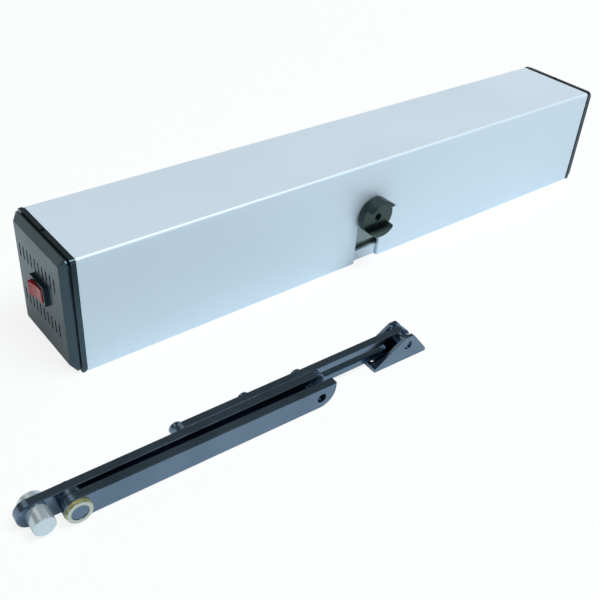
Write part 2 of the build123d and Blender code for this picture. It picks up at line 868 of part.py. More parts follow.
def stator_profile():
    """Stator lamination: an outer ring with inward teeth that have wide shoes."""
    outer = motor_radius - motor_wall - seat_play
    bore = rotor_radius + air_gap
    profile = ring(outer, outer - stator_wall)
    neck_length = outer - stator_wall / 2 - bore
    neck = Pos(bore + neck_length / 2, 0) * Rectangle(neck_length, tooth_neck)
    profile += [Rot(0, 0, turn * 360 / stator_teeth) * neck for turn in range(stator_teeth)]
    shoes = ring(bore + tooth_shoe, bore)
    gap = Pos(bore + tooth_shoe / 2, 0) * Rectangle(2 * tooth_shoe, tooth_opening)
    half_turn = 180 / stator_teeth
    shoes -= [Rot(0, 0, half_turn + turn * 360 / stator_teeth) * gap for turn in range(stator_teeth)]
    return (profile + shoes) - disc(bore)


def motor_stator():
    """Laminated stator in the can."""
    start, end = core_span()
    return along_y(Pos(motor_x, spindle_height) * stator_profile(), start, end)


def motor_coils():
    """One wound coil on every stator tooth, drawn as two closed sides."""
    start, end = core_span()
    inner = rotor_radius + air_gap + tooth_shoe + 2 * coil_gap
    outer = motor_radius - motor_wall - stator_wall - 2 * coil_gap
    sides = []
    for turn in range(stator_teeth):
        for side in (-1, 1):
            offset = side * (tooth_neck / 2 + coil_gap + coil_width / 2)
            profile = Pos((inner + outer) / 2, offset) * Rectangle(outer - inner, coil_width)
            profile = Pos(motor_x, spindle_height) * Rot(0, 0, turn * 360 / stator_teeth) * profile
            sides.append(along_y(profile, start - coil_overhang, end + coil_overhang))
    return Compound(children=sides)


def motor_rotor():
    """Magnet rotor on the motor shaft."""
    start, end = core_span()
    profile = ring(rotor_radius, motor_shaft_radius + seat_play)
    profile -= PolarLocations(rotor_hole_reach, gear_hole_count) * Circle(rotor_hole_radius)
    return along_y(Pos(motor_x, spindle_height) * profile, start, end)


def board_places(centre_x, length):
    """Standoff places of a board, on the tracks."""
    half = length / 2 - board_hole_inset
    return [(centre_x + sx * half, sy * track_offset) for sx in (-1, 1) for sy in (-1, 1)]


def board(centre_x, length, width):
    """Bare circuit board with its four screw holes."""
    profile = Pos(centre_x, 0) * RectangleRounded(length, width, board_corner_radius)
    for place in board_places(centre_x, length):
        profile -= disc(board_screw_radius + sliding_gap, place)
    return along_z(profile, board_bottom, board_top)


def all_board_places():
    """Standoff places of both boards."""
    places = board_places(control_board_x, control_board_length)
    return places + board_places(mains_board_x, mains_board_length)


def board_standoffs():
    """Hexagonal pillars on the tracks with a threaded hole at the top."""
    pillar = along_z(RegularPolygon(standoff_radius, 6), seat_height, board_bottom)
    pillar -= along_z(Circle(board_screw_radius), board_bottom - board_screw_depth, board_bottom + 1)
    return Compound(children=[Pos(*place, 0) * pillar for place in all_board_places()])


def board_screws():
    """Small screws that hold both boards on their pillars."""
    head = RegularPolygon(board_screw_radius + board_screw_head_rise, 6)
    screw = along_z(head, board_top, board_top + board_screw_head_height)
    shank = Circle(board_screw_radius - seat_play)
    screw += along_z(shank, board_bottom - board_screw_depth + 1, board_top)
    return Compound(children=[Pos(*place, 0) * screw for place in all_board_places()])


def terminal_block(centre_x, centre_y, ways):
    """Row of wire terminals along Y with an entry and a screw recess for each."""
    length = ways * terminal_pitch
    outline = Pos(centre_x, centre_y) * Rectangle(terminal_depth, length)
    body = along_z(outline, board_top, board_top + terminal_height)
    for way in range(ways):
        y = centre_y - length / 2 + terminal_pitch * (way + 0.5)
        entry = Pos(y, board_top + terminal_entry) * Rectangle(terminal_entry, terminal_entry)
        body -= along_x(entry, centre_x, centre_x + terminal_depth)
        recess = Pos(centre_x - 1, y) * Rectangle(terminal_entry, terminal_entry)
        body -= along_z(recess, board_top + 0.7 * terminal_height, board_top + terminal_height + 1)
    return body


def terminal_blocks():
    """Mains terminals on the mains board and door-control terminals on the control board."""
    control_edge = control_board_x + control_board_length / 2 - terminal_edge_inset
    mains_edge = mains_board_x + mains_board_length / 2 - terminal_edge_inset
    blocks = [terminal_block(control_edge, 0, control_ways)]
    for y in (-mains_terminal_offset, mains_terminal_offset):
        blocks.append(terminal_block(mains_edge, y, mains_ways))
    return Compound(children=blocks)


def capacitors():
    """Two smoothing capacitors on the mains board."""
    can = along_z(Circle(capacitor_radius), board_top, board_top + capacitor_height)
    can = chamfer(can.edges().group_by(Axis.Z)[-1], 1)
    x = mains_board_x + capacitor_offset_x
    return Compound(children=[Pos(x, side * capacitor_spacing / 2, 0) * can for side in (-1, 1)])


def heat_sink():
    """Finned aluminium block on the control board."""
    half = heat_sink_width / 2
    profile = span(-half, half, board_top, board_top + heat_sink_base)
    pitch = (heat_sink_width - fin_thickness) / (heat_sink_fins - 1)
    for fin in range(heat_sink_fins):
        left = -half + fin * pitch
        profile += span(left, left + fin_thickness, board_top, board_top + heat_sink_height)
    middle = control_board_x + heat_sink_offset_x
    return along_x(profile, middle - heat_sink_length / 2, middle + heat_sink_length / 2)


def relays():
    """Two relays on the control board."""
    case = along_z(Rectangle(relay_length, relay_width), board_top, board_top + relay_height)
    case = chamfer(case.edges().group_by(Axis.Z)[-1], 0.8)
    x = control_board_x + relay_offset_x
    return Compound(children=[Pos(x, side * relay_spacing / 2, 0) * case for side in (-1, 1)])


def transformer_coil():
    """Ring transformer, its winding rounded at all edges."""
    body = along_z(ring(transformer_radius, transformer_bore), transformer_bottom, transformer_top)
    body = fillet(body.edges(), transformer_edge_radius)
    return Pos(transformer_x, 0, 0) * body


def transformer_rubber():
    """Rubber pad under the transformer, on the tracks."""
    profile = ring(transformer_radius, transformer_bolt_radius + sliding_gap)
    return Pos(transformer_x, 0, 0) * along_z(profile, seat_height, transformer_bottom)


def transformer_dish():
    """Dished steel washer on top of the transformer."""
    inner = transformer_bolt_radius + sliding_gap
    outer = transformer_radius - dish_edge_inset
    low = transformer_top - dish_depth
    profile = Polyline(
        (inner, low),
        (transformer_bore - dish_depth, low),
        (transformer_bore + dish_depth + 1, transformer_top),
        (outer, transformer_top),
        (outer, transformer_top + dish_thickness),
        (transformer_bore + dish_depth, transformer_top + dish_thickness),
        (transformer_bore - dish_depth - 1, low + dish_thickness),
        (inner, low + dish_thickness),
        close=True,
    )
    return Pos(transformer_x, 0, 0) * revolve(Plane.XZ * make_face(profile), Axis.Z)


def transformer_bolt():
    """Bolt from the back plate up through the transformer, with its nut."""
    seat = transformer_top - dish_depth + dish_thickness
    nut_height = 1.6 * transformer_bolt_radius
    bolt = along_z(Circle(transformer_bolt_radius), plate_thickness, seat + nut_height + 3)
    bolt += along_z(RegularPolygon(2 * transformer_bolt_radius, 6), seat, seat + nut_height)
    return Pos(transformer_x, 0, 0) * bolt


def bar_profile(left, right, half):
    """Flat bar with two round ends."""
    return span(left, right, -half, half) + disc(half, (left, 0)) + disc(half, (right, 0))


def broken_edges(body):
    """Takes the sharp edge off both faces of a flat bar."""
    faces = body.faces().sort_by(Axis.Y)
    edges = faces[0].outer_wire().edges() + faces[-1].outer_wire().edges()
    return chamfer(edges, bar_chamfer)


def main_bar():
    """Drive arm: round at the elbow, cut off at the other end with one corner rounded away."""
    half = bar_width / 2
    profile = span(0, main_reach + main_tip, -half, half)
    right = profile.vertices().group_by(Axis.X)[-1].sort_by(Axis.Y)
    profile = fillet(right[0], main_tip_radius)
    right = profile.vertices().group_by(Axis.X)[-1].sort_by(Axis.Y)
    profile = fillet(right[-1], main_corner_radius)
    profile += disc(half)
    body = broken_edges(along_y(profile, main_front, main_back))
    body -= along_y(disc(elbow_pin_radius + bush_wall + seat_play), main_front - 1, main_back + 1)
    body -= along_y(disc(arm_bolt_hole_radius, (main_reach, 0)), main_front - 1, main_back + 1)
    return arm_frame * body


def elbow_bush():
    """Flanged plain bush pressed into the drive arm."""
    inner = elbow_pin_radius + running_play
    body = along_y(ring(elbow_pin_radius + bush_wall, inner), main_front, main_back)
    body += along_y(ring(bush_flange_radius, inner), flange_front, main_front)
    return arm_frame * body


def elbow_ring():
    """Bright washer on the bush flange, around the end of the elbow pin."""
    profile = ring(elbow_washer_radius, elbow_head_radius + running_play)
    return arm_frame * along_y(profile, washer_front, flange_front)


def elbow_pin():
    """Stepped pin riveted into the link bar; its head lies a little inside the washer."""
    head_back = flange_front - seat_play
    body = along_y(disc(elbow_pin_radius), head_back, bar_thickness)
    body += along_y(disc(elbow_head_radius), washer_front + elbow_head_sunk, head_back)
    rivet = disc(elbow_pin_radius + elbow_rivet_rise)
    body += along_y(rivet, bar_thickness, bar_thickness + elbow_rivet_height)
    return link_frame * body


def elbow_spacer():
    """Steel distance ring between the two arms."""
    profile = ring(bar_width / 2, elbow_pin_radius + seat_play)
    return link_frame * along_y(profile, main_back + running_play, 0)


def link_bar():
    """Flat link bar with holes for the elbow pin, the stop pin and the clamp bolts."""
    half = bar_width / 2
    body = broken_edges(along_y(bar_profile(-link_tail, link_reach, half), 0, bar_thickness))
    holes = disc(elbow_pin_radius + seat_play) + disc(stop_shank_radius + seat_play, (-stop_reach, 0))
    for reach in clamp_reaches:
        holes += disc(clamp_radius, (reach, 0))
    return link_frame * (body - along_y(holes, -1, bar_thickness + 1))


def stop_pin():
    """Bright stop on the link bar's tail; the drive arm meets it when the elbow is nearly straight."""
    body = along_y(disc(stop_radius, (-stop_reach, 0)), -stop_length, 0)
    body = chamfer(body.edges().group_by(Axis.Y)[0], 0.3)
    shank_end = bar_thickness + stop_nut_height - bar_chamfer
    body += along_y(disc(stop_shank_radius, (-stop_reach, 0)), 0, shank_end)
    return link_frame * body


def stop_nut():
    """Round nut behind the link bar."""
    profile = ring(stop_nut_radius, stop_shank_radius + seat_play, (-stop_reach, 0))
    body = along_y(profile, bar_thickness, bar_thickness + stop_nut_height)
    return link_frame * body


def clamp_bolts():
    """Socket-head bolts through the rail's slot into the link bar."""
    head_back = rail_back + slide_play / 2
    head_front = head_back + clamp_head_height
    head = along_y(disc(clamp_head_radius), head_back, head_front)
    head = chamfer(head.edges().group_by(Axis.Y)[-1], bar_chamfer)
    head -= along_y(RegularPolygon(clamp_socket_radius, 6), head_front - clamp_socket_depth, head_front + 1)
    bolt = head + along_y(disc(clamp_radius - seat_play), bar_chamfer, head_back)
    return Compound(children=[link_frame * (Pos(reach, 0, 0) * bolt) for reach in clamp_reaches])


def slotted_rail():
    """Adjusting rail: a flat bar with a long slot for the clamp bolts and a pivot eye."""
    half = rail_width / 2
    profile = bar_profile(rail_start + half, pivot_reach, half)
    body = broken_edges(along_y(profile, rail_front, rail_back))
    slot_half = clamp_radius + slot_play
    slot = bar_profile(clamp_reaches[0], rail_slot_end, slot_half)
    body -= along_y(slot, rail_front - 1, rail_back + 1)
    body -= along_y(disc(shoe_pin_radius + running_play, (pivot_reach, 0)), rail_front - 1, rail_back + 1)
    return link_frame * body


def shoe_faces():
    """Outer faces of the shoe's ears along Y."""
    return rail_front - shoe_room_front - shoe_wall, rail_back + shoe_room_back + shoe_wall


def shoe_bracket():
    """Folded foot: a screw plate with two upright ears for the pin."""
    front, back = shoe_faces()
    bottom = -shoe_pin_height
    top = shoe_ear_height - shoe_pin_height
    ear = Polyline(
        (-shoe_back_length, bottom),
        (shoe_front_length, bottom),
        (shoe_front_length, bottom + shoe_wall),
        (shoe_apex_front, top),
        (-shoe_apex_back, top),
        (-shoe_back_length, bottom + shoe_wall),
        close=True,
    )
    profile = make_face(ear)
    profile = fillet(profile.vertices().group_by(Axis.Y)[-1], shoe_apex_radius)
    profile = fillet(profile.vertices().group_by(Axis.Y)[1], shoe_end_radius)
    body = along_y(profile, front, back)
    room = span(-shoe_back_length - 1, shoe_front_length + 1, bottom + shoe_wall, top + 1)
    body -= along_y(room, front + shoe_wall, back - shoe_wall)
    body -= along_y(disc(shoe_pin_radius + seat_play), front - 1, back + 1)
    middle = (front + back) / 2
    ends = (-shoe_back_length + shoe_hole_inset, shoe_front_length - shoe_hole_inset)
    holes = [Pos(x, middle) * Circle(shoe_hole_radius) for x in ends]
    body -= along_z(Sketch() + holes, bottom - 1, bottom + shoe_wall + 1)
    return shoe_frame * body


def shoe_pin():
    """Pin through both ears and the rail's eye, a little short of the outer faces."""
    front, back = shoe_faces()
    return shoe_frame * along_y(disc(shoe_pin_radius), front + pin_recess, back - pin_recess)


def shoe_spacers():
    """Distance rings on the pin, on both sides of the rail."""
    front, back = shoe_faces()
    profile = ring(shoe_pin_radius + shoe_spacer_wall, shoe_pin_radius + seat_play)
    first = along_y(profile, front + shoe_wall, rail_front - slide_play)
    second = along_y(profile, rail_back + slide_play, back - shoe_wall)
    return Compound(children=[shoe_frame * first, shoe_frame * second])


silver = (0.72, 0.79, 0.86)
black = (0.08, 0.09, 0.1)
steel = (0.6, 0.62, 0.65)
cast = (0.45, 0.5, 0.48)
brass = (0.75, 0.6, 0.25)
green = (0.1, 0.35, 0.2)

save(cover(), "cover", silver)
save(base_rail(), "base_rail", silver)
save(cable_grommet(), "cable_grommet", black)
save(end_frame(-1), "left_end_frame", black)
save(end_frame(1), "right_end_frame", black)
save(end_cap(-1), "left_end_cap", black)
save(end_cap(1), "right_end_cap", black)
save(end_screws(), "end_screws", steel)
save(switch_bezel(), "switch_bezel", black)
save(rocker(), "rocker", (0.7, 0.05, 0.05))
save(switch_terminals(), "switch_terminals", brass)
save(spindle(), "spindle", steel)
save(output_key(), "output_key", steel)
save(spindle_circlip(), "spindle_circlip", steel)
save(coupling(), "coupling", black)
save(output_gear(), "output_gear", steel)
shaft_start = case_front + shaft_end_gap
shaft_end = back_plate_back - shaft_end_gap
second_pinion = pinion_shaft(
    second_shaft_x,
    gear_shaft_radius,
    shaft_start,
    shaft_end,
    output_module,
    output_back - output_width,
    output_back,
)
save(second_pinion, "second_pinion_shaft", steel)
save(wheel(second_shaft_x, second_teeth, second_module, second_back, second_width), "second_gear", brass)
first_pinion = pinion_shaft(
    first_shaft_x,
    gear_shaft_radius,
    shaft_start,
    shaft_end,
    second_module,
    second_back - second_width,
    second_back,
)
save(first_pinion, "first_pinion_shaft", steel)
save(wheel(first_shaft_x, first_teeth, first_module, first_back, first_width), "first_gear", brass)
motor_shaft = pinion_shaft(
    motor_x,
    motor_shaft_radius,
    first_back - first_width - layer_gap,
    motor_back - motor_wall - shaft_end_gap,
    first_module,
    first_back - first_width,
    first_back,
)
save(motor_shaft, "motor_shaft", steel)
save(gearbox_case(), "gearbox_case", cast)
save(gearbox_back_plate(), "gearbox_back_plate", cast)
save(gearbox_screws(), "gearbox_screws", steel)
save(lug_screws(), "lug_screws", steel)
save(track_nuts(), "track_nuts", steel)
save(spindle_bearings(), "spindle_bearings", steel)
save(gear_bushes(), "gear_bushes", brass)
save(motor_plate(), "motor_plate", steel)
save(motor_can(), "motor_can", steel)
save(motor_bearings(), "motor_bearings", steel)
save(motor_stator(), "motor_stator", steel)
save(motor_coils(), "motor_coils", brass)
save(motor_rotor(), "motor_rotor", steel)
save(board(control_board_x, control_board_length, control_board_width), "control_board", green)
save(board(mains_board_x, mains_board_length, mains_board_width), "mains_board", green)
save(board_standoffs(), "board_standoffs", brass)
save(board_screws(), "board_screws", steel)
save(terminal_blocks(), "terminal_blocks", green)
save(capacitors(), "capacitors", black)
save(heat_sink(), "heat_sink", silver)
save(relays(), "relays", black)
save(transformer_coil(), "transformer_coil", brass)
save(transformer_rubber(), "transformer_pad", black)
save(transformer_dish(), "transformer_dish", steel)
save(transformer_bolt(), "transformer_bolt", steel)
save(main_bar(), "main_bar", black)
save(elbow_bush(), "elbow_bush", brass)
save(elbow_ring(), "elbow_ring", silver)
save(elbow_pin(), "elbow_pin", black)
save(elbow_spacer(), "elbow_spacer", black)
save(link_bar(), "link_bar", black)
save(stop_pin(), "stop_pin", silver)
save(stop_nut(), "stop_nut", silver)
save(clamp_bolts(), "clamp_bolts", black)
save(slotted_rail(), "slotted_rail", black)
save(shoe_bracket(), "shoe_bracket", black)
save(shoe_pin(), "shoe_pin", steel)
save(shoe_spacers(), "shoe_spacers", black)
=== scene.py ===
import math

import bpy
from mathutils import Matrix, Vector


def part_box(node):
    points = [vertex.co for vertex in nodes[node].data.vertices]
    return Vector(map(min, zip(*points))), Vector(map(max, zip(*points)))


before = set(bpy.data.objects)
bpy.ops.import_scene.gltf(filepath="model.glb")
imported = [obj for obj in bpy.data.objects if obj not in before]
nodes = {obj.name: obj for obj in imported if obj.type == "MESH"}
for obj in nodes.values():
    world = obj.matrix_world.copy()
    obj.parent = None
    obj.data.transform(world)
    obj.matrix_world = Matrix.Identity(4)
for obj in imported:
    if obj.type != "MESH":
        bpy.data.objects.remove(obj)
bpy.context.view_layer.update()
mm = 0.001
print("frame loaded:", len(nodes), "nodes")


def toLinear(hexColour):
    # sRGB hex code to the linear colour that the sockets take
    channels = [int(hexColour[i:i + 2], 16) / 255 for i in (1, 3, 5)]
    linear = [c / 12.92 if c <= 0.04045 else ((c + 0.055) / 1.055) ** 2.4 for c in channels]
    return (*linear, 1.0)


def addNode(tree, kind, settings=None, links=None):
    # a whole number or a socket's name sets that input, any other name sets the node itself
    node = tree.nodes.new(kind)
    for name, value in (settings or {}).items():
        if isinstance(name, int) or name in node.inputs:
            node.inputs[name].default_value = value
        else:
            setattr(node, name, value)
    for name, source in (links or {}).items():
        tree.links.new(source, node.inputs[name])
    return node


# Camera: a 50 mm lens, from the left and above, tipped a little to the side
cameraLook = {
    "place": (-0.416653, -0.432081, 0.365725),
    "azimuth": -40.951489,
    "elevation": 35.995421,
    "roll": 4.505506,
    "lens": 50.499,
    "sensor": 36,
    "near": 0.01,  # nothing closer than this is drawn
}


def addCamera(look):
    azimuth = math.radians(look["azimuth"])
    elevation = math.radians(look["elevation"])
    roll = math.radians(look["roll"])
    back = Vector((
        math.sin(azimuth) * math.cos(elevation),
        -math.cos(azimuth) * math.cos(elevation),
        math.sin(elevation),
    ))
    levelRight = Vector((0, 0, 1)).cross(back).normalized()
    levelUp = back.cross(levelRight)
    right = levelRight * math.cos(roll) + levelUp * math.sin(roll)
    up = levelUp * math.cos(roll) - levelRight * math.sin(roll)
    bpy.ops.object.camera_add(location=look["place"])
    camera = bpy.context.object
    turn = Matrix((right, up, back)).transposed().to_4x4()
    camera.matrix_world = Matrix.Translation(look["place"]) @ turn
    camera.data.lens = look["lens"]
    camera.data.sensor_width = look["sensor"]
    camera.data.sensor_fit = "HORIZONTAL"
    camera.data.clip_start = look["near"]
    bpy.context.scene.camera = camera


addCamera(cameraLook)
print("camera in place")

# Studio: a white paper floor, white round the horizon and a dim room above it. A large soft box high
# on the right lights the object, and a weak one behind gives the turned steel its bright edge.
studio = {
    "floorSize": 8.0,
    "floorColour": "#e8f4f9",
    "floorSeen": 0.86,  # share of plain white that the camera sees on the floor, the rest keeps the shadow
    "floorMirrored": 0.26,  # the same for shiny surfaces, which mirror more of the shadow
    "roomColour": "#f0f4ec",
    "roomStrength": 0.19,
    "whiteBelow": 0.12,  # sine of the height at which the white round the horizon starts to fade
    "dimAbove": 0.32,  # and at which only the dim room is left
    "boxes": [
        {
            "name": "rimStrip",
            "place": (-0.85, 1.75, 2.3),
            "aim": (-0.2, -0.1, 0.02),
            "size": (1.3, 0.8),
            "power": 2.2,
        },
        {
            "name": "keyBox",
            "place": (1.6, -1.9, 5.9),
            "aim": (0, -0.05, 0.04),
            "size": (4.0, 3.2),
            "power": 405,
        },
    ],
}


def sightOf(tree):
    # what the camera sees, straight or through something clear, and what shiny surfaces mirror
    path = addNode(tree, "ShaderNodeLightPath")
    direct = addNode(tree, "ShaderNodeMath", {"operation": "MAXIMUM"},
                     {0: path.outputs["Is Camera Ray"], 1: path.outputs["Is Transmission Ray"]})
    return direct.outputs[0], path.outputs["Is Glossy Ray"]


def mixToOutput(tree, output, share, plain, white):
    mix = addNode(tree, "ShaderNodeMixShader", None,
                  {0: share.outputs[0], 1: plain.outputs[0], 2: white.outputs[0]})
    addNode(tree, output, None, {"Surface": mix.outputs[0]})


def addFloor(look):
    bpy.ops.mesh.primitive_plane_add(size=look["floorSize"], location=(0, 0, 0))
    floor = bpy.context.object
    floor.name = "studioFloor"
    material = bpy.data.materials.new("whitePaperFloor")
    material.use_nodes = True
    tree = material.node_tree
    tree.nodes.clear()
    direct, glossy = sightOf(tree)
    seen = addNode(tree, "ShaderNodeMath", {"operation": "MULTIPLY", 1: look["floorSeen"]}, {0: direct})
    mirrored = addNode(tree, "ShaderNodeMath", {"operation": "MULTIPLY", 1: look["floorMirrored"]},
                       {0: glossy})
    share = addNode(tree, "ShaderNodeMath", {"operation": "MAXIMUM"},
                    {0: seen.outputs[0], 1: mirrored.outputs[0]})
    paper = addNode(tree, "ShaderNodeBsdfDiffuse", {"Color": toLinear(look["floorColour"])})
    white = addNode(tree, "ShaderNodeEmission", {"Color": (1, 1, 1, 1), "Strength": 1.0})
    mixToOutput(tree, "ShaderNodeOutputMaterial", share, paper, white)
    floor.data.materials.append(material)


def addRoom(look):
    world = bpy.data.worlds.new("paleRoom")
    bpy.context.scene.world = world
    world.use_nodes = True
    tree = world.node_tree
    tree.nodes.clear()
    direct, glossy = sightOf(tree)
    direction = addNode(tree, "ShaderNodeTexCoord")
    height = addNode(tree, "ShaderNodeSeparateXYZ", None, {0: direction.outputs["Generated"]})
    horizon = addNode(tree, "ShaderNodeMapRange", {
        "interpolation_type": "SMOOTHSTEP", "From Min": look["whiteBelow"], "From Max": look["dimAbove"],
        "To Min": 1.0, "To Max": 0.0,
    }, {"Value": height.outputs[2]})
    mirrored = addNode(tree, "ShaderNodeMath", {"operation": "MULTIPLY"}, {0: glossy, 1: horizon.outputs[0]})
    share = addNode(tree, "ShaderNodeMath", {"operation": "MAXIMUM"}, {0: direct, 1: mirrored.outputs[0]})
    room = addNode(tree, "ShaderNodeBackground",
                   {"Color": toLinear(look["roomColour"]), "Strength": look["roomStrength"]})
    white = addNode(tree, "ShaderNodeBackground", {"Color": (1, 1, 1, 1), "Strength": 1.0})
    mixToOutput(tree, "ShaderNodeOutputWorld", share, room, white)


def addBox(look):
    bpy.ops.object.light_add(type="AREA", location=look["place"])
    light = bpy.context.object
    light.name = look["name"]
    light.data.shape = "RECTANGLE"
    light.data.size, light.data.size_y = look["size"]
    light.data.energy = look["power"]
    towards = Vector(look["aim"]) - Vector(look["place"])
    light.rotation_euler = towards.to_track_quat("-Z", "Y").to_euler()


addFloor(studio)
addRoom(studio)
for softBox in studio["boxes"]:
    addBox(softBox)
bpy.context.scene.view_settings.view_transform = "Standard"
print("studio lit")

# Finishes. Colours are what the eye sees in plain light. Grain, bump and cloud are millimetres, and marks
# that are finer than 0.3 mm on the real thing are drawn that coarse or coarser, so that they show.
# cloudShare is how far the colour follows the cloud and not the grain.
finishes = {
    # extruded, blasted and clear anodised aluminium: pale cool satin, fine speckle, hardly any draw lines
    "anodisedAluminium": {
        "light": "#d7e8f6", "dark": "#cfe1f0", "metallic": 0.2, "rough": (0.46, 0.52),
        "grain": (1.2, 0.7, 0.7), "bump": 0.002, "cloud": 120, "cloudShare": 0.4,
    },
    # moulded ABS from a spark-eroded tool: black with a cool satin sheen and tiny pits
    "mouldedAbs": {
        "light": "#0e1416", "dark": "#0a0f10", "metallic": 0.0, "rough": (0.26, 0.32), "ior": 1.95,
        "sheenTint": "#a0cbe2",
        "pattern": "pits", "grain": (0.45, 0.45, 0.45), "bump": 0.012, "cloud": 30, "cloudShare": 0.3,
    },
    # steel flats, black oxide with a film of oil: a blue-grey mirror, dark where the room is dim
    "blackenedSteel": {
        "light": "#6c7f92", "dark": "#5d7083", "metallic": 1.0, "rough": (0.18, 0.24),
        "grain": (9.0, 0.6, 0.6), "bump": 0.0015, "cloud": 25, "cloudShare": 0.5,
    },
    # the turned coupling in black oxide: darker, greener and duller than the flats
    "blackenedCoupling": {
        "light": "#43504f", "dark": "#364342", "metallic": 1.0, "rough": (0.28, 0.36),
        "pattern": "rings", "grain": (0.35, 0.35, 0.35), "bump": 0.003, "cloud": 9, "cloudShare": 0.5,
    },
    # red polycarbonate of the rocker: glossy, light goes a little way in
    "redPolycarbonate": {
        "light": "#b5202e", "dark": "#a01c28", "metallic": 0.0, "rough": (0.24, 0.3), "ior": 1.58,
        "grain": (2.0, 2.0, 2.0), "bump": 0.002, "cloud": 8, "cloudShare": 0.5, "transmission": 0.08,
    },
    # bright turned steel of the stop and its nut: pale, rings left by the tool
    "turnedSteel": {
        "light": "#d5e2e9", "dark": "#c0cfd8", "metallic": 0.65, "rough": (0.24, 0.3),
        "pattern": "rings", "grain": (0.3, 0.3, 0.3), "bump": 0.003, "cloud": 12, "cloudShare": 0.3,
    },
    # ground washer at the elbow: pale grey, faintly green from the passivation
    "paleWasherSteel": {
        "light": "#c6ccc3", "dark": "#b0b6a9", "metallic": 1.0, "rough": (0.26, 0.32),
        "pattern": "rings", "grain": (0.3, 0.3, 0.3), "bump": 0.002, "cloud": 5, "cloudShare": 0.3,
    },
    # yellow passivated zinc on the bush: pale straw with a green cast
    "yellowZinc": {
        "light": "#cfd09a", "dark": "#b0b274", "metallic": 0.8, "rough": (0.3, 0.38),
        "pattern": "rings", "grain": (0.4, 0.4, 0.4), "bump": 0.003, "cloud": 4, "cloudShare": 0.6,
    },
    # clear passivated zinc on screws, nuts and stampings: cool grey, slightly patchy
    "zincPlatedSteel": {
        "light": "#c3c8cc", "dark": "#9fa6ab", "metallic": 1.0, "rough": (0.28, 0.42),
        "grain": (1.0, 1.0, 1.0), "bump": 0.004, "cloud": 8, "cloudShare": 0.5,
    },
    # hardened and ground steel of the shafts and gears, lightly oiled
    "groundSteel": {
        "light": "#a7adb1", "dark": "#878e93", "metallic": 1.0, "rough": (0.22, 0.34),
        "pattern": "rings", "grain": (0.4, 0.4, 0.4), "bump": 0.003, "cloud": 10, "cloudShare": 0.4,
    },
    # pressure die casting, as cast: dull grey skin with a green cast, pitted and patchy
    "dieCastAlloy": {
        "light": "#a2b2b3", "dark": "#859696", "metallic": 0.35, "rough": (0.5, 0.65),
        "pattern": "pits", "grain": (1.0, 1.0, 1.0), "bump": 0.03, "cloud": 18, "cloudShare": 0.6,
    },
    # sintered bronze of the bushes and the first gear: brown gold, porous
    "sinteredBronze": {
        "light": "#b98f55", "dark": "#94703f", "metallic": 1.0, "rough": (0.35, 0.5),
        "pattern": "pits", "grain": (0.4, 0.4, 0.4), "bump": 0.01, "cloud": 6, "cloudShare": 0.4,
    },
    # enamelled copper wire: turns side by side under a clear lacquer
    "enamelledCopper": {
        "light": "#b4643a", "dark": "#7d3d1f", "metallic": 0.8, "rough": (0.2, 0.32),
        "pattern": "turns", "grain": (0.8, 0.8, 0.8), "bump": 0.2, "cloud": 10, "cloudShare": 0.3,
    },
    # green solder mask over copper tracks
    "maskedEpoxyBoard": {
        "light": "#2c6a45", "dark": "#1b4a30", "metallic": 0.0, "rough": (0.28, 0.4), "ior": 1.52,
        "pattern": "tracks", "grain": (3.0, 3.0, 3.0), "bump": 0.03, "cloud": 14, "cloudShare": 0.3,
    },
    # moulded polyamide of the terminal rows
    "greenPolyamide": {
        "light": "#3f8f57", "dark": "#327746", "metallic": 0.0, "rough": (0.4, 0.5), "ior": 1.53,
        "grain": (0.6, 0.6, 0.6), "bump": 0.01, "cloud": 9, "cloudShare": 0.3,
    },
    # shrunk sleeve and moulded cases of capacitors and relays
    "blueSleeve": {
        "light": "#2b3f63", "dark": "#1e2d49", "metallic": 0.0, "rough": (0.22, 0.3), "ior": 1.53,
        "grain": (1.5, 1.5, 1.5), "bump": 0.006, "cloud": 12, "cloudShare": 0.3,
    },
    # nitrile rubber: matt black, slightly dusty
    "nitrileRubber": {
        "light": "#26282a", "dark": "#191b1c", "metallic": 0.0, "rough": (0.65, 0.8), "ior": 1.52,
        "grain": (0.7, 0.7, 0.7), "bump": 0.02, "cloud": 10, "cloudShare": 0.4,
    },
    # stacked electrical sheet: thin dark layers, lacquered
    "laminatedIron": {
        "light": "#6d7175", "dark": "#4a4e52", "metallic": 0.9, "rough": (0.4, 0.52),
        "pattern": "sheets", "grain": (0.5, 0.5, 0.5), "bump": 0.05, "cloud": 12, "cloudShare": 0.3,
    },
    # nickel-plated brass pillars and blades
    "nickelledBrass": {
        "light": "#cdbf8e", "dark": "#a99a68", "metallic": 1.0, "rough": (0.25, 0.35),
        "grain": (0.8, 0.8, 0.8), "bump": 0.003, "cloud": 6, "cloudShare": 0.4,
    },
}
noiseLow, noiseHigh = 0.3, 0.7  # nearly all of a noise texture's values lie between these
oneBandPerUnit = math.pi / 10  # the scale at which a wave texture repeats once per unit


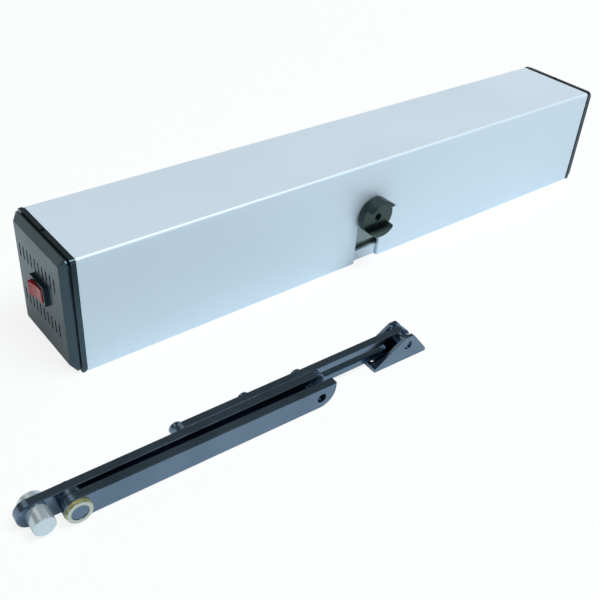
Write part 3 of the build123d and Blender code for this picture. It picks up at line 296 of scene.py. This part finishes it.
def surfacePattern(tree, kind, space):
    # height of the surface up close, from 0 to 1, in units of the finish's own grain
    if kind == "pits":
        cells = addNode(tree, "ShaderNodeTexVoronoi",
                        {"feature": "SMOOTH_F1", "Scale": 1.0, "Smoothness": 0.5}, {"Vector": space})
        return cells.outputs["Distance"]
    if kind == "tracks":
        lines = addNode(tree, "ShaderNodeTexVoronoi", {"distance": "MANHATTAN", "Scale": 1.0},
                        {"Vector": space})
        return lines.outputs["Distance"]
    if kind in ("sheets", "turns"):
        across = "Y" if kind == "sheets" else "X"
        bands = addNode(tree, "ShaderNodeTexWave", {"bands_direction": across, "Scale": oneBandPerUnit},
                        {"Vector": space})
        return bands.outputs["Fac"]
    if kind == "rings":
        # round the Y axis: distance from it, then place along it
        across = addNode(tree, "ShaderNodeVectorMath", {"operation": "MULTIPLY", 1: (1, 0, 1)}, {0: space})
        radius = addNode(tree, "ShaderNodeVectorMath", {"operation": "LENGTH"}, {0: across.outputs[0]})
        along = addNode(tree, "ShaderNodeSeparateXYZ", None, {0: space})
        space = addNode(tree, "ShaderNodeCombineXYZ", None,
                        {0: radius.outputs["Value"], 1: along.outputs[1]}).outputs[0]
    grain = addNode(tree, "ShaderNodeTexNoise", {"Scale": 1.0, "Detail": 3.0, "Roughness": 0.55},
                    {"Vector": space})
    return grain.outputs[0]


def makeFinish(name, look, place=(0, 0, 0), turn=0.0):
    # place and turn set a turned or stretched pattern on a piece's own axis
    material = bpy.data.materials.new(name)
    material.use_nodes = True
    tree = material.node_tree
    tree.nodes.clear()
    coordinates = addNode(tree, "ShaderNodeTexCoord")
    grainSpace = addNode(tree, "ShaderNodeMapping", {
        "vector_type": "TEXTURE",
        "Location": place,
        "Rotation": (0, 0, turn),
        "Scale": [size * mm for size in look["grain"]],
    }, {"Vector": coordinates.outputs["Object"]})
    grain = surfacePattern(tree, look.get("pattern", "grain"), grainSpace.outputs[0])
    cloudSpace = addNode(tree, "ShaderNodeMapping", {
        "vector_type": "TEXTURE", "Scale": [look["cloud"] * mm] * 3,
    }, {"Vector": coordinates.outputs["Object"]})
    cloud = addNode(tree, "ShaderNodeTexNoise", {"Scale": 1.0, "Detail": 2.0, "Roughness": 0.5},
                    {"Vector": cloudSpace.outputs[0]})
    share = addNode(tree, "ShaderNodeMix", {0: look["cloudShare"]}, {2: grain, 3: cloud.outputs[0]})
    tone = addNode(tree, "ShaderNodeMapRange", {"From Min": noiseLow, "From Max": noiseHigh},
                   {"Value": share.outputs[0]})
    colour = addNode(tree, "ShaderNodeMix", {
        "data_type": "RGBA", 6: toLinear(look["dark"]), 7: toLinear(look["light"]),
    }, {0: tone.outputs[0]})
    smoothest, roughest = look["rough"]
    rough = addNode(tree, "ShaderNodeMapRange", {
        "From Min": noiseLow, "From Max": noiseHigh, "To Min": smoothest, "To Max": roughest,
    }, {"Value": cloud.outputs[0]})
    bump = addNode(tree, "ShaderNodeBump", {"Strength": 1.0, "Distance": look["bump"] * mm},
                   {"Height": grain})
    settings = {"Metallic": look["metallic"]}
    if "ior" in look:
        settings["IOR"] = look["ior"]
    if "sheenTint" in look:
        settings["Specular Tint"] = toLinear(look["sheenTint"])
    if "transmission" in look:
        settings["Transmission Weight"] = look["transmission"]
    shader = addNode(tree, "ShaderNodeBsdfPrincipled", settings, {
        "Base Color": colour.outputs[2], "Roughness": rough.outputs[0], "Normal": bump.outputs[0],
    })
    addNode(tree, "ShaderNodeOutputMaterial", None, {"Surface": shader.outputs[0]})
    return material


# nodes that share one finish as it is
finishOf = {
    "anodisedAluminium": ["cover", "base_rail", "heat_sink"],
    "mouldedAbs": ["left_end_frame", "right_end_frame", "left_end_cap", "right_end_cap", "switch_bezel"],
    "blackenedSteel": ["shoe_bracket", "shoe_spacers", "clamp_bolts"],
    "redPolycarbonate": ["rocker"],
    "zincPlatedSteel": ["end_screws", "gearbox_screws", "lug_screws", "track_nuts", "board_screws",
                        "motor_can", "transformer_dish", "transformer_bolt", "output_key",
                        "spindle_circlip"],
    "dieCastAlloy": ["gearbox_case", "gearbox_back_plate", "motor_plate"],
    "sinteredBronze": ["gear_bushes"],
    "enamelledCopper": ["motor_coils", "transformer_coil"],
    "maskedEpoxyBoard": ["control_board", "mains_board"],
    "greenPolyamide": ["terminal_blocks"],
    "blueSleeve": ["capacitors", "relays"],
    "nitrileRubber": ["cable_grommet", "transformer_pad"],
    "laminatedIron": ["motor_stator", "motor_rotor"],
    "nickelledBrass": ["board_standoffs", "switch_terminals"],
}

# nodes whose pattern follows their own axis: turned pieces about their pin or shaft, bars along their length
finishOnAxis = {
    "blackenedSteel": ["main_bar", "link_bar", "slotted_rail", "elbow_pin", "elbow_spacer", "shoe_pin"],
    "blackenedCoupling": ["coupling"],
    "turnedSteel": ["stop_pin", "stop_nut"],
    "paleWasherSteel": ["elbow_ring"],
    "yellowZinc": ["elbow_bush"],
    "groundSteel": ["spindle", "output_gear", "second_pinion_shaft", "second_gear",
                    "first_pinion_shaft", "motor_shaft", "spindle_bearings", "motor_bearings"],
    "sinteredBronze": ["first_gear"],
}
armYaw = math.radians(-2.4)  # the arm lies in front of the housing, a little turned
armLine = -0.1  # metres: a piece whose middle is further forward than this is on the arm


def middleOf(node):
    low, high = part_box(node)
    return [(a + b) / 2 for a, b in zip(low, high)]


def giveFinish(member, material):
    mesh = nodes[member].data
    mesh.materials.clear()
    mesh.materials.append(material)


for finish, members in finishOf.items():
    material = makeFinish(finish, finishes[finish])
    for member in members:
        giveFinish(member, material)
for finish, members in finishOnAxis.items():
    for member in members:
        middle = middleOf(member)
        turn = armYaw if middle[1] < armLine else 0.0
        giveFinish(member, makeFinish(finish, finishes[finish], middle, turn))
finished = {member for group in (finishOf, finishOnAxis) for members in group.values() for member in members}
print("finishes made:", len(finishes), "nodes without one:", sorted(set(nodes) - finished))
